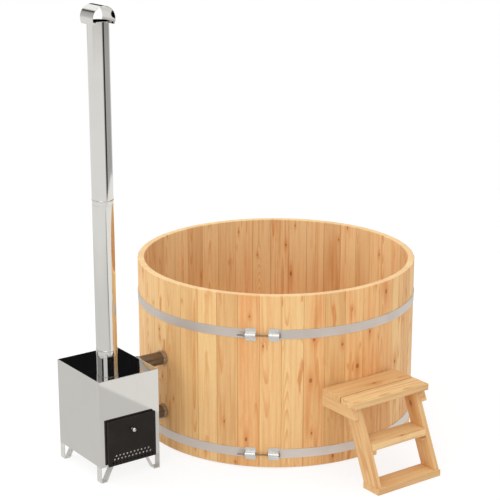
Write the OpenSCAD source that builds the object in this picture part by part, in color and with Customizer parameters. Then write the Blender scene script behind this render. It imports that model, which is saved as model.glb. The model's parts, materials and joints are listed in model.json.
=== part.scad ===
// Round wooden hot tub with steel hoops, an outside wood-burning stove with its
// chimney, two water pipes and a wooden step.
// Millimetres, +Z up. Origin: on the ground, on the axis of the tub.
// The stove stands on the -X side, the step and the stove door face -Y.

/* [Tub wall] */
// Outside diameter of the stave wall
tub_d = 1800; // [1700:10:1950]
// Height of the rim above the ground
tub_h = 1115; // [1050:5:1180]
// Height of the foot of the staves above the ground
stave_foot = 5; // [2:1:15]
// Number of staves round the tub
stave_count = 42; // [38:1:46]
// Thickness of a stave
stave_t = 44; // [40:1:52]
// Radius of the bead along one edge of a stave
bead_r = 7; // [5:0.5:8]
// How far the bead stands out of the edge
bead_out = 5; // [3:0.5:6]
// Width of the small bevel where two staves meet
seam_bevel = 1.8; // [1:0.2:3]
// Bevel along the rim and the foot of the wall
rim_bevel = 4; // [2:0.5:6]
// Depth of the groove that holds the floor
croze_depth = 9; // [6:1:12]
// Gap between a floor board's end and the bottom of that groove
croze_gap = 1; // [0.5:0.5:2]

/* [Floor] */
// Height of the bearers under the floor
bearer_h = 78; // [72:1:90]
// Width of a bearer
bearer_w = 70; // [45:1:95]
// Number of bearers
bearer_count = 5; // [3:2:5]
// Distance between two bearers
bearer_pitch = 320; // [280:5:340]
// Thickness of the floor boards
floor_t = 40; // [34:1:45]
// Number of floor boards
floor_count = 12; // [11:1:14]
// Gap between the wall and what stands inside it
wall_gap = 6; // [4:0.5:8]

/* [Hoops] */
// Width of a hoop band
hoop_w = 58; // [45:1:70]
// Thickness of a hoop band
hoop_t = 2.5; // [2:0.1:3]
// Height of the middle of the upper hoop
upper_hoop_z = 872; // [800:1:950]
// Height of the middle of the lower hoop
lower_hoop_z = 98.5; // [90:0.5:130]
// Direction of the hoop joint, seen from above
hoop_joint_angle = 228.3; // [215:0.1:240]
// Angle from the joint to the middle of a lug
lug_angle = 4.5; // [4:0.1:6]
// Width of a lug along the hoop
lug_w = 66; // [50:1:70]
// Height of a lug
lug_h = 80; // [70:1:90]
// Thickness of a lug plate
lug_t = 4; // [3:0.5:5]
// Corner radius of a lug plate
lug_corner = 10; // [5:1:15]
// How far the middle of a lug sits below the middle of its hoop
lug_drop = 3; // [0:0.5:5]
// Diameter of the round back of a lug
socket_d = 31; // [26:1:36]
// Distance from the lug's edges to the ends of its round back
socket_inset = 1; // [0.5:0.5:3]
// Diameter of the tension rod
rod_d = 10; // [8:1:12]
// Distance from the stave wall to the axis of the rod
rod_offset = 16; // [15:0.5:20]
// Length of rod beyond its nut
rod_tail = 34; // [15:1:50]
// Width across flats of the nut and the rod head
hex_af = 17; // [15:1:20]
// Thickness of the nut
nut_t = 10; // [8:0.5:12]
// Thickness of the rod head
head_t = 7; // [5:0.5:9]
// Outside diameter of a washer
washer_d = 28; // [24:1:32]
// Thickness of a washer
washer_t = 3; // [2:0.5:4]

/* [Bench] */
// Height of the bench seat above the ground
bench_z = 520; // [470:5:540]
// Thickness of the bench boards
bench_board_t = 28; // [24:1:34]
// Depth of one bench board
bench_board_w = 95; // [85:1:100]
// Gap between two bench boards
bench_gap = 10; // [6:1:14]
// Bench boards side by side
bench_rows = 3; // [2:1:3]
// Number of bench sections round the tub
bench_sections = 8; // [7:1:9]
// Angle of the tub that the bench covers
bench_span = 300; // [260:5:310]
// How far the inner end of a bearer lies behind the seat edge
bearer_setback = 10; // [6:1:20]
// Height of the radial bench bearers
bench_bearer_h = 70; // [60:1:90]
// Thickness of the bench bearers, legs and cleats
bench_timber = 45; // [38:1:50]
// Height of the wall cleats
cleat_h = 90; // [70:1:120]

/* [Drain] */
// Distance of the drain from the tub axis along X
drain_x = 480; // [430:5:530]
// Floor board that the drain goes through, counted from -Y
drain_board = 5; // [5:1:6]
// Diameter of the drain flange
drain_flange_d = 90; // [80:1:100]
// Outside diameter of the drain tube
drain_tube_d = 50; // [40:1:56]
// Wall of the drain tube
drain_wall = 3; // [2:0.5:4]
// Thickness of the drain flange
drain_flange_t = 4; // [3:0.5:6]
// Length of drain tube below the floor
drain_drop = 34; // [25:1:45]
// Diameter of the drain nut
drain_nut_d = 78; // [70:1:90]
// Thickness of the drain nut
drain_nut_t = 12; // [8:1:16]
// Depth of the plug in the drain
plug_depth = 30; // [20:1:36]
// Diameter of the plug cap
plug_cap_d = 58; // [52:1:66]
// Thickness of the plug cap
plug_cap_t = 5; // [4:0.5:8]
// Outside radius of the plug handle
plug_handle_r = 16; // [14:1:20]
// Diameter of the plug handle's bar
plug_bar_d = 5; // [4:0.5:6]

/* [Stove] */
// Gap between the stove and the tub wall
stove_gap = 203; // [180:1:260]
// Width of the stove, along X
stove_w = 415; // [400:1:450]
// Depth of the stove, along Y
stove_d = 504; // [460:1:560]
// Height of the stove body
stove_h = 550; // [530:1:600]
// Centre of the stove along Y
stove_y = -42; // [-80:1:0]
// Sheet thickness of the casing
casing_t = 3; // [2:0.5:4]
// Width of the water space round the firebox
water_gap = 45; // [40:1:50]
// Height of the water space under the firebox
water_floor = 22; // [15:1:24]
// Height of the water space above the firebox
water_top = 90; // [80:1:110]
// Wall thickness of the firebox
firebox_t = 4; // [3:0.5:6]
// Height of the feet
foot_h = 98; // [80:1:120]
// Width of a foot
foot_w = 52; // [40:1:60]
// Strip thickness of a foot
foot_t = 4; // [3:0.5:6]
// Length of foot on the ground
foot_sole = 40; // [30:1:50]
// Reach of the foot's brace under the stove
foot_reach = 90; // [70:1:110]
// Height of the grate above the floor of the firebox
grate_rise = 62; // [50:1:75]
// Thickness of the grate
grate_t = 14; // [10:1:18]
// Number of slots across the grate
grate_slots = 8; // [6:1:9]
// Width of a grate slot
slot_w = 14; // [10:1:16]
// Gap between the grate and the side walls of the firebox, twice as wide at its ends
grate_gap = 2; // [1:0.5:4]
// Width and height of the ledges under the grate
ledge = 12; // [10:1:16]

/* [Door] */
// Width of the door frame
frame_w = 318; // [310:1:326]
// Height of the door frame
frame_h = 280; // [270:1:290]
// Height of the frame's lower edge above the stove body
frame_rise = 5; // [4:1:10]
// Distance of the frame from the stove's left side
frame_left = 49; // [42:1:56]
// Width of the frame's border at the sides and at the top
frame_border = 15; // [12:1:20]
// Width of the frame's border at the foot, behind the hinges
frame_sill = 33; // [28:1:40]
// Sheet thickness of the frame
frame_t = 3; // [2:0.5:4]
// Distance the door laps over the frame at each side and at the top
door_lap = 7; // [5:0.5:9]
// Height of the door's lower edge above the frame's
door_under = 1; // [0.5:0.5:2]
// Depth of the door from the stove front to the door face
door_depth = 25; // [23:1:30]
// Sheet thickness of the door
door_t = 2; // [1.5:0.5:3]
// Gap between the door's rear edge and the frame
door_gap = 1.5; // [1:0.5:2.5]
// Outside diameter of a hinge barrel
barrel_d = 10; // [9:0.5:11]
// Diameter of a hinge pin
pin_d = 6; // [5:0.5:6.5]
// Room between a hinge barrel and the door sheet round it
barrel_gap = 0.7; // [0.5:0.1:1.5]
// Length of one hinge knuckle
knuckle = 18; // [14:1:24]
// Length of hinge pin beyond the knuckles
pin_end = 2; // [1:0.5:4]
// Distance of each hinge from the middle of the door
hinge_offset = 105; // [80:1:125]
// Diameter of an air hole
air_hole_d = 12; // [9:0.5:14]
// Distance between two air holes
air_pitch = 25.2; // [22:0.2:27]
// Height between two rows of air holes
air_row_pitch = 21.5; // [20:0.5:25]
// Air holes in the lowest row, each row above has one less
air_holes = 12; // [9:1:12]
// Rows of air holes
air_rows = 3; // [2:1:3]
// Height of the lowest row above the door's lower edge
air_rise = 19; // [15:1:24]
// Diameter of the door knob
knob_d = 27; // [22:1:34]
// Diameter of the knob's neck
neck_d = 10; // [8:1:14]
// Length of the knob's neck
neck_l = 7; // [5:1:12]
// Height of the knob above the door's lower edge
knob_rise = 212; // [180:1:240]
// Gap between the door face and the heat shield
shield_gap = 3; // [2:0.5:6]
// Thickness of the heat shield
shield_t = 1.5; // [1:0.5:2.5]
// Distance of the shield's edge from the door's edge
shield_margin = 15; // [12:1:20]
// Height of the shield's lower edge above the door's lower edge
shield_rise = 29; // [26:1:32]

/* [Chimney] */
// Distance of the chimney from the stove's middle along Y
chimney_shift = 2; // [-10:1:30]
// Outside diameter of the chimney
chimney_d = 130; // [118:1:140]
// Wall of the chimney and flue tubes
chimney_wall = 1.5; // [1:0.5:2]
// Height of the chimney's foot above the stove top
chimney_foot = 70; // [60:1:90]
// Height of the joint between the two chimney sections
chimney_joint_z = 1655; // [1500:5:1800]
// Height of the top of the chimney tube
chimney_top_z = 2741; // [2500:5:3000]
// Length of a spigot inside the tube above
spigot_l = 50; // [40:1:70]
// Width of the bead that carries the chimney
bead_w = 5; // [4:1:8]
// Outside diameter of the cap drum
cap_d = 150; // [144:1:170]
// Length of the cap drum
cap_l = 146; // [140:1:170]
// Sheet thickness of the cap
cap_t = 1.5; // [1:0.5:2]
// Height from the chimney top to the axis of the cap
cap_rise = 17; // [15:1:25]

/* [Pipes] */
// Centre of both pipes along Y
pipe_y = -32; // [-42:1:-26]
// Outside diameter of the pipes
pipe_d = 84; // [76:1:84]
// Wall of the pipes
pipe_wall = 2; // [1.5:0.5:3]
// How far a pipe reaches into the stove's water space
pipe_entry = 4; // [2:1:8]
// Height of the upper pipe
upper_pipe_z = 599; // [560:1:600]
// Height of the lower pipe
lower_pipe_z = 242; // [220:1:270]
// Outside diameter of the collars
collar_d = 92; // [90:1:104]
// Length of a collar
collar_l = 25; // [18:1:30]
// Diameter of the flanges inside the tub
flange_d = 124; // [115:1:140]
// Thickness of the flanges inside the tub
flange_t = 9; // [6:1:12]
// Length of pipe beyond the flange inside the tub
pipe_stub = 8; // [4:1:15]

/* [Step] */
// Middle of the step along X
step_x = -29; // [-60:1:0]
// Length of the step's seat boards
step_l = 578; // [520:1:640]
// Height of the step's top
step_top = 534; // [500:1:560]
// Width of the seat board next to the tub
back_board_w = 173; // [165:1:180]
// Width of the front seat board
front_board_w = 137; // [125:1:150]
// Gap between the seat boards
seat_gap = 9; // [5:1:14]
// Thickness of the step boards
step_board_t = 40; // [34:1:45]
// Thickness of the side rails
rail_t = 40; // [34:1:45]
// Height of the side rails
rail_h = 71; // [60:1:90]
// Distance of a rail from the end of the seat boards
rail_inset = 2; // [0:1:6]
// Thickness of the legs
leg_t = 37; // [34:1:45]
// Width of the legs, square to their length
leg_w = 112; // [100:1:120]
// Lean of the legs from upright
leg_lean = 24; // [20:0.5:26]
// Width of the base board
base_w = 141; // [135:1:160]
// Distance from the base board's front edge to the leg
leg_setback = 15; // [5:1:15]
// Distance from the tub wall to the base board's front edge
base_reach = 497; // [470:1:520]
// Height of the top of the middle board
middle_z = 280; // [250:1:310]
// Width of the middle board
middle_w = 147; // [140:1:160]
// Width of a step cleat
step_cleat_w = 30; // [24:1:40]
// Height of a step cleat
step_cleat_h = 28; // [22:1:36]
// Length of a step cleat
step_cleat_l = 115; // [95:1:120]

/* [Fits] */
// Gap between two staves or floor boards
board_fit = 0.3; // [0.2:0.1:0.5]
// Gap between curved faces that are pressed together
curve_fit = 0.2; // [0.1:0.1:0.4]
// Radial clearance of a tube or rod in its hole
hole_fit = 0.3; // [0.2:0.1:0.5]
// Radial clearance of a hinge pin
pin_fit = 0.05; // [0.02:0.01:0.08]

/* [Hidden] */
$fn = 64;
big_fn = 360;            // facets of circles as large as the tub
eps = 1;                 // overlap of a cutting shape past the face it cuts
far = 200;               // length of a cutting shape that only has to clear the part

tub_r = tub_d / 2;
inner_r = tub_r - stave_t;
stave_mid_r = tub_r - stave_t / 2;
stave_pitch = 360 / stave_count;
floor_r = inner_r + croze_depth - croze_gap;
floor_top = bearer_h + floor_t;
floor_pitch = 2 * floor_r / floor_count;
bearer_r = inner_r - wall_gap;

lug_r = tub_r + curve_fit;
rod_r = tub_r + rod_offset;
socket_end = rod_r * tan(lug_angle) + lug_w / 2 - socket_inset;
upper_lug_z = upper_hoop_z - lug_drop;
lower_lug_z = lower_hoop_z - lug_drop;

bench_r = inner_r - wall_gap;
bench_step = bench_span / bench_sections;
bench_flat = bench_r * cos(bench_step / 2);   // distance from the axis to the seam of two seats
bench_depth = bench_rows * bench_board_w + (bench_rows - 1) * bench_gap;
bench_end_r = (bench_flat - bench_depth) / cos(bench_step / 2) + bearer_setback;   // inner end of a bearer

drain_y = -floor_r + (drain_board - 0.5) * floor_pitch;
drain_bore_r = drain_tube_d / 2 - drain_wall;

stove_x = -(tub_r + stove_gap + stove_w / 2);
stove_left = stove_x - stove_w / 2;
stove_right = stove_x + stove_w / 2;
stove_front = stove_y - stove_d / 2;
stove_back = stove_y + stove_d / 2;
stove_top_z = foot_h + stove_h;
box_x0 = stove_left + water_gap;
box_x1 = stove_right - water_gap;
box_y0 = stove_front + water_gap;
box_y1 = stove_back - water_gap;
box_z0 = foot_h + casing_t + water_floor;
box_z1 = stove_top_z - casing_t - water_top;

frame_x0 = stove_left + frame_left;
frame_x1 = frame_x0 + frame_w;
frame_z0 = foot_h + frame_rise;
frame_z1 = frame_z0 + frame_h;
frame_y = stove_front - frame_t;
mouth_x0 = frame_x0 + frame_border;
mouth_x1 = frame_x1 - frame_border;
mouth_z0 = frame_z0 + frame_sill;
mouth_z1 = frame_z1 - frame_border;

door_x0 = frame_x0 - door_lap;
door_x1 = frame_x1 + door_lap;
door_mid = (door_x0 + door_x1) / 2;
door_z0 = frame_z0 + door_under;
door_z1 = frame_z1 + door_lap;
door_y0 = stove_front - door_depth;
door_y1 = frame_y - door_gap;
hinge_y = frame_y - barrel_d / 2 - hole_fit;
hinge_z = door_z0 + barrel_d / 2;
hinge_clear = barrel_d / 2 + barrel_gap;

chimney_y = stove_y + chimney_shift;
chimney_r = chimney_d / 2;
chimney_foot_z = stove_top_z + chimney_foot;
spigot_r = chimney_r - chimney_wall - hole_fit;
cap_r = cap_d / 2;
cap_z = chimney_top_z + cap_rise;
cap_edge_x = chimney_r + curve_fit;
cap_edge_drop = sqrt(pow(cap_r - cap_t, 2) - pow(cap_edge_x, 2));

pipe_r = pipe_d / 2;
pipe_x0 = stove_right - casing_t - pipe_entry;
pipe_x1 = -inner_r + flange_t + pipe_stub;

seat_back_y = -tub_r - hole_fit;
seat_front_y = seat_back_y - back_board_w - seat_gap - front_board_w;
seat_foot_z = step_top - step_board_t;
rail_x = step_l / 2 - rail_inset;
leg_x = rail_x - rail_t;
base_front_y = -tub_r - base_reach;
leg_run = leg_w / cos(leg_lean);
middle_l = 2 * (leg_x - leg_t);
cleat_z = middle_z - step_board_t - step_cleat_h;

// ---- shared shapes ----

// A block from one corner to the opposite one
module block(low, high) translate(low) cube(high - low);

// A straight tube along +Z
module tube(r, wall, h) difference() {
    cylinder(r = r, h = h);
    translate([0, 0, -eps]) cylinder(r = r - wall, h = h + 2 * eps);
}

// A cylinder along +X from one x to another
module x_cylinder(r, x0, x1) translate([x0, 0, 0]) rotate([0, 90, 0]) cylinder(r = r, h = x1 - x0);

// A rectangle with round corners, centred
module round_rect(w, h, r) {
    square([w - 2 * r, h], center = true);
    square([w, h - 2 * r], center = true);
    for (x = [-1, 1], y = [-1, 1])
        translate([x * (w / 2 - r), y * (h / 2 - r)]) circle(r = r);
}

// A hexagonal prism along +Z
module hex_prism(across_flats, h) cylinder(d = across_flats / cos(30), h = h, $fn = 6);

// ---- tub ----

// A point of the wedge between two seams, at a radius and a distance in from the seam
function seam_point(r, inset, side) = [
    r * cos(stave_pitch / 2) + inset * sin(stave_pitch / 2),
    side * (r * sin(stave_pitch / 2) - inset * cos(stave_pitch / 2))
];

// One edge of the wedge, with its bevels at both faces of the wall
function wedge_edge(side) = [
    seam_point(inner_r - eps, board_fit / 2 + seam_bevel + eps, side),
    seam_point(inner_r + seam_bevel, board_fit / 2, side),
    seam_point(tub_r - seam_bevel, board_fit / 2, side),
    seam_point(tub_r + eps, board_fit / 2 + seam_bevel + eps, side)
];

module stave_wedge() {
    left = wedge_edge(1);
    right = wedge_edge(-1);
    polygon(concat(left, [for (i = [3 : -1 : 0]) right[i]]));
}

// Cross-section of the wall: bevelled rim and foot, and the groove for the floor
module wall_profile() polygon([
    [inner_r, stave_foot],
    [tub_r - rim_bevel, stave_foot],
    [tub_r, stave_foot + rim_bevel],
    [tub_r, tub_h - rim_bevel],
    [tub_r - rim_bevel, tub_h],
    [inner_r + rim_bevel, tub_h],
    [inner_r, tub_h - rim_bevel],
    [inner_r, floor_top + board_fit],
    [inner_r + croze_depth, floor_top + board_fit],
    [inner_r + croze_depth, bearer_h - board_fit],
    [inner_r, bearer_h - board_fit]
]);

// One stave on the +X side: bead on one edge, cove on the other
module stave() {
    bead = seam_point(stave_mid_r, board_fit / 2 + bead_r - bead_out, 1);
    cove = seam_point(stave_mid_r, -(board_fit / 2 + bead_r - bead_out), -1);
    difference() {
        union() {
            intersection() {
                rotate([0, 0, -stave_pitch])
                    rotate_extrude(angle = 2 * stave_pitch, $fn = big_fn) wall_profile();
                linear_extrude(tub_h + eps) stave_wedge();
            }
            translate([bead[0], bead[1], stave_foot])
                cylinder(r = bead_r, h = tub_h - stave_foot);
        }
        translate([cove[0], cove[1], 0]) cylinder(r = bead_r + curve_fit, h = tub_h + eps);
    }
}

module pipe_holes(r, x0, x1)
    for (z = [lower_pipe_z, upper_pipe_z])
        translate([0, pipe_y, z]) x_cylinder(r, x0, x1);

// Whether the pipes pass through a stave, counted from the -X side
function is_piped(i) =
    cos(180 + i * stave_pitch) < 0
    && abs(tub_r * sin(180 + i * stave_pitch) - pipe_y)
        < tub_r * sin(stave_pitch / 2) + pipe_r + hole_fit;

module staves() color("burlywood")
    for (i = [0 : stave_count - 1])
        if (!is_piped(i)) rotate([0, 0, 180 + i * stave_pitch]) stave();

module pipe_staves() color("burlywood")
    for (i = [0 : stave_count - 1])
        if (is_piped(i)) difference() {
            rotate([0, 0, 180 + i * stave_pitch]) stave();
            pipe_holes(pipe_r + hole_fit, -tub_r - far, -inner_r + far);
        }

module floor_boards() color("tan") difference() {
    for (i = [0 : floor_count - 1])
        intersection() {
            translate([0, 0, bearer_h]) cylinder(r = floor_r, h = floor_t, $fn = big_fn);
            block(
                [-tub_r, -floor_r + i * floor_pitch + board_fit / 2, bearer_h - eps],
                [tub_r, -floor_r + (i + 1) * floor_pitch - board_fit / 2, floor_top + eps]
            );
        }
    translate([drain_x, drain_y, 0]) cylinder(d = drain_tube_d + 2 * hole_fit, h = tub_h);
}

module floor_bearers() color("peru")
    for (i = [0 : bearer_count - 1]) {
        x = (i - (bearer_count - 1) / 2) * bearer_pitch;
        half_l = sqrt(pow(bearer_r, 2) - pow(abs(x) + bearer_w / 2, 2));
        block([x - bearer_w / 2, -half_l, 0], [x + bearer_w / 2, half_l, bearer_h]);
    }

// ---- hoops ----

// The part of the circle between the outer edges of the two lugs
module joint_window() {
    function window_point(r, side) = [
        r * cos(lug_angle) - lug_w / 2 * sin(lug_angle),
        side * (r * sin(lug_angle) + lug_w / 2 * cos(lug_angle))
    ];
    linear_extrude(tub_h) polygon([
        window_point(inner_r, -1), window_point(tub_r + far, -1),
        window_point(tub_r + far, 1), window_point(inner_r, 1)
    ]);
}

module hoop(z) difference() {
    translate([0, 0, z - hoop_w / 2]) difference() {
        cylinder(r = lug_r + hoop_t, h = hoop_w, $fn = big_fn);
        translate([0, 0, -eps]) cylinder(r = lug_r, h = hoop_w + 2 * eps, $fn = big_fn);
    }
    rotate([0, 0, hoop_joint_angle]) joint_window();
}

module hoop_upper() color("silver") hoop(upper_hoop_z);

module hoop_lower() color("silver") hoop(lower_hoop_z);

// The round-backed rod socket of one lug, along the rod
module lug_socket(side) {
    y0 = rod_r * tan(lug_angle) - lug_w / 2 + socket_inset;
    y1 = socket_end;
    translate([rod_r, side * (side > 0 ? y0 : y1), 0]) rotate([-90, 0, 0])
        linear_extrude(y1 - y0) {
            circle(d = socket_d);
            translate([-rod_offset, -socket_d / 2]) square([rod_offset, socket_d]);
        }
}

module lug(side) difference() {
    union() {
        intersection() {
            translate([0, 0, -lug_h / 2]) cylinder(r = lug_r + lug_t, h = lug_h, $fn = big_fn);
            rotate([0, 0, side * lug_angle]) translate([inner_r, 0, 0])
                rotate([90, 0, 90]) linear_extrude(far) round_rect(lug_w, lug_h, lug_corner);
        }
        lug_socket(side);
    }
    translate([0, 0, -lug_h]) cylinder(r = lug_r, h = 2 * lug_h, $fn = big_fn);
    translate([rod_r, -far, 0]) rotate([-90, 0, 0]) cylinder(r = rod_d / 2 + hole_fit, h = 2 * far);
}

// Places its child at both hoop joints, rod axis along +Y
module at_joints()
    for (z = [lower_lug_z, upper_lug_z])
        rotate([0, 0, hoop_joint_angle]) translate([0, 0, z]) children();

module hoop_lugs() color("silver") at_joints() for (side = [-1, 1]) lug(side);

module tension_rods() color("gainsboro") at_joints()
    translate([rod_r, 0, 0]) rotate([-90, 0, 0]) {
        tail = socket_end + washer_t + nut_t + rod_tail;
        head = socket_end + washer_t;
        translate([0, 0, -tail]) cylinder(d = rod_d, h = tail + head);
        translate([0, 0, head]) hex_prism(hex_af, head_t);
    }

module tension_washers() color("gainsboro") at_joints()
    for (y = [-socket_end - washer_t, socket_end])
        translate([rod_r, y, 0]) rotate([-90, 0, 0])
            tube(washer_d / 2, washer_d / 2 - rod_d / 2 - hole_fit, washer_t);

module tension_nuts() color("gainsboro") at_joints()
    translate([rod_r, -socket_end - washer_t - nut_t, 0]) rotate([-90, 0, 0]) difference() {
        hex_prism(hex_af, nut_t);
        translate([0, 0, -eps]) cylinder(r = rod_d / 2 + pin_fit, h = nut_t + 2 * eps);
    }

// ---- bench ----

// Angles of the seams between the bench sections, with the bench's two ends
bench_seams = [for (i = [0 : bench_sections]) -bench_span / 2 + i * bench_step];

// One row of one section: a board between two seams
module bench_board(row) {
    outer = bench_flat - row * (bench_board_w + bench_gap);
    inner = outer - bench_board_w;
    trim = bench_gap / 2 / cos(bench_step / 2);
    slope = tan(bench_step / 2);
    translate([0, 0, bench_z - bench_board_t]) linear_extrude(bench_board_t)
        if (row == 0) intersection() {
            circle(r = bench_r, $fn = big_fn);
            polygon([
                [inner, -inner * slope + trim], [bench_r + eps, -(bench_r + eps) * slope + trim],
                [bench_r + eps, (bench_r + eps) * slope - trim], [inner, inner * slope - trim]
            ]);
        }
        else polygon([
            [inner, -inner * slope + trim], [outer, -outer * slope + trim],
            [outer, outer * slope - trim], [inner, inner * slope - trim]
        ]);
}

module bench_boards() color("wheat")
    for (i = [0 : bench_sections - 1], row = [0 : bench_rows - 1])
        rotate([0, 0, bench_seams[i] + bench_step / 2]) bench_board(row);

module at_bench_seams()
    for (angle = bench_seams) rotate([0, 0, angle]) children();

module bench_bearers() color("peru") at_bench_seams()
    block(
        [bench_end_r, -bench_timber / 2, bench_z - bench_board_t - bench_bearer_h],
        [bench_r - wall_gap, bench_timber / 2, bench_z - bench_board_t]
    );

module bench_legs() color("peru") at_bench_seams()
    block(
        [bench_end_r, -bench_timber / 2, floor_top],
        [bench_end_r + bench_timber, bench_timber / 2, bench_z - bench_board_t - bench_bearer_h]
    );

// Blocks on the wall under the outer ends of the bearers, scribed to the wall
module bench_cleats() color("peru") at_bench_seams()
    intersection() {
        block(
            [inner_r - bench_timber, -bench_timber, bench_z - bench_board_t - bench_bearer_h - cleat_h],
            [tub_r, bench_timber, bench_z - bench_board_t - bench_bearer_h]
        );
        cylinder(r = inner_r - curve_fit, h = tub_h, $fn = big_fn);
    }

// ---- drain ----

module at_drain() translate([drain_x, drain_y, 0]) children();

module drain_fitting() color("gray") at_drain() difference() {
    union() {
        translate([0, 0, floor_top]) cylinder(d = drain_flange_d, h = drain_flange_t);
        translate([0, 0, bearer_h - drain_drop])
            cylinder(d = drain_tube_d, h = floor_t + drain_drop + eps);
    }
    cylinder(r = drain_bore_r, h = tub_h);
}

module drain_nut() color("gray") at_drain() translate([0, 0, bearer_h - drain_nut_t])
    tube(drain_nut_d / 2, drain_nut_d / 2 - drain_tube_d / 2 - pin_fit, drain_nut_t);

module drain_plug() color("dimgray") at_drain() {
    flange_z = floor_top + drain_flange_t;
    translate([0, 0, flange_z - plug_depth])
        cylinder(r = drain_bore_r - pin_fit, h = plug_depth + eps);
    translate([0, 0, flange_z]) cylinder(d = plug_cap_d, h = plug_cap_t);
    translate([0, 0, flange_z + plug_cap_t - plug_bar_d / 2]) rotate([90, 0, 0])
        rotate_extrude(angle = 180)
            translate([plug_handle_r - plug_bar_d / 2, 0]) circle(d = plug_bar_d);
}

// ---- stove ----

module stove_casing() color("lightgray") difference() {
    block([stove_left, stove_front, foot_h], [stove_right, stove_back, stove_top_z]);
    block(
        [stove_left + casing_t, stove_front + casing_t, foot_h + casing_t],
        [stove_right - casing_t, stove_back - casing_t, stove_top_z + eps]
    );
    block(
        [mouth_x0 - firebox_t - curve_fit, stove_front - eps, mouth_z0 - firebox_t - curve_fit],
        [mouth_x1 + firebox_t + curve_fit, stove_front + casing_t + eps, mouth_z1 + firebox_t + curve_fit]
    );
    pipe_holes(pipe_r + hole_fit, stove_right - far, stove_right + eps);
}

module stove_top() color("gainsboro") difference() {
    block(
        [stove_left + casing_t, stove_front + casing_t, stove_top_z - casing_t],
        [stove_right - casing_t, stove_back - casing_t, stove_top_z]
    );
    translate([stove_x, chimney_y, stove_top_z - far]) cylinder(r = spigot_r + hole_fit, h = 2 * far);
}

// Side view of one bent foot, its upright strip at x = 0
module foot_profile() {
    inner_lean = (foot_reach - foot_sole) / foot_h;
    brace = foot_t * sqrt(1 + pow(inner_lean, 2));   // thickness of the brace along X
    difference() {
        polygon([[0, 0], [foot_sole, 0], [foot_reach, foot_h], [0, foot_h]]);
        polygon([
            [foot_t, foot_t],
            [foot_sole + foot_t * inner_lean - brace, foot_t],
            [foot_sole + (foot_h + eps) * inner_lean - brace, foot_h + eps],
            [foot_t, foot_h + eps]
        ]);
    }
}

module foot(y) translate([0, y + foot_w, 0]) rotate([90, 0, 0]) linear_extrude(foot_w) foot_profile();

module stove_feet() color("silver")
    for (y = [stove_front, stove_back - foot_w]) {
        translate([stove_left, 0, 0]) foot(y);
        translate([stove_right, 0, 0]) mirror([1, 0, 0]) foot(y);
    }

// Inner shell with its throat to the stove front and the ledges under the grate
module firebox() color("dimgray") {
    difference() {
        union() {
            block([box_x0, box_y0, box_z0], [box_x1, box_y1, box_z1]);
            block(
                [mouth_x0 - firebox_t, stove_front, mouth_z0 - firebox_t],
                [mouth_x1 + firebox_t, box_y0 + firebox_t, mouth_z1 + firebox_t]
            );
        }
        block(
            [box_x0 + firebox_t, box_y0 + firebox_t, box_z0 + firebox_t],
            [box_x1 - firebox_t, box_y1 - firebox_t, box_z1 - firebox_t]
        );
        block([mouth_x0, stove_front - eps, mouth_z0], [mouth_x1, box_y0 + firebox_t + eps, mouth_z1]);
        translate([stove_x, chimney_y, box_z1 - far / 2]) cylinder(r = spigot_r - chimney_wall, h = far);
    }
    for (x = [box_x0 + firebox_t, box_x1 - firebox_t - ledge])
        block(
            [x, box_y0 + firebox_t, box_z0 + firebox_t + grate_rise - ledge],
            [x + ledge, box_y1 - firebox_t, box_z0 + firebox_t + grate_rise]
        );
}

module grate() color("dimgray") {
    x0 = box_x0 + firebox_t + grate_gap;
    x1 = box_x1 - firebox_t - grate_gap;
    y0 = box_y0 + firebox_t + 2 * grate_gap;
    y1 = box_y1 - firebox_t - 2 * grate_gap;
    z0 = box_z0 + firebox_t + grate_rise;
    pitch = (x1 - x0) / (grate_slots + 1);
    slot_l = (y1 - y0 - 4 * ledge) / 2;
    difference() {
        block([x0, y0, z0], [x1, y1, z0 + grate_t]);
        for (i = [1 : grate_slots], y = [y0 + ledge, y1 - ledge - slot_l]) {
            x = x0 + i * pitch;
            block([x - slot_w / 2, y, z0 - eps], [x + slot_w / 2, y + slot_l, z0 + grate_t + eps]);
        }
    }
}

// ---- door ----

// Places its child at both hinges, at the middle of the hinge axis
module at_hinges()
    for (x = [door_mid - hinge_offset, door_mid + hinge_offset])
        translate([x, hinge_y, hinge_z]) children();

module door_frame() color("dimgray") {
    difference() {
        block([frame_x0, frame_y, frame_z0], [frame_x1, stove_front, frame_z1]);
        block([mouth_x0, frame_y - eps, mouth_z0], [mouth_x1, stove_front + eps, mouth_z1]);
    }
    at_hinges() difference() {
        union() {
            x_cylinder(barrel_d / 2, -knuckle / 2, knuckle / 2);
            block([-knuckle / 2, 0, -barrel_d / 4], [knuckle / 2, frame_y - hinge_y, barrel_d / 4]);
        }
        x_cylinder(pin_d / 2 + pin_fit, -knuckle, knuckle);
    }
}

// Centres of the air holes in the door face, as [x, z]
air_hole_places = [
    for (row = [0 : air_rows - 1], i = [0 : air_holes - row - 1])
        [(i - (air_holes - row - 1) / 2) * air_pitch, air_rise + row * air_row_pitch]
];

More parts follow.
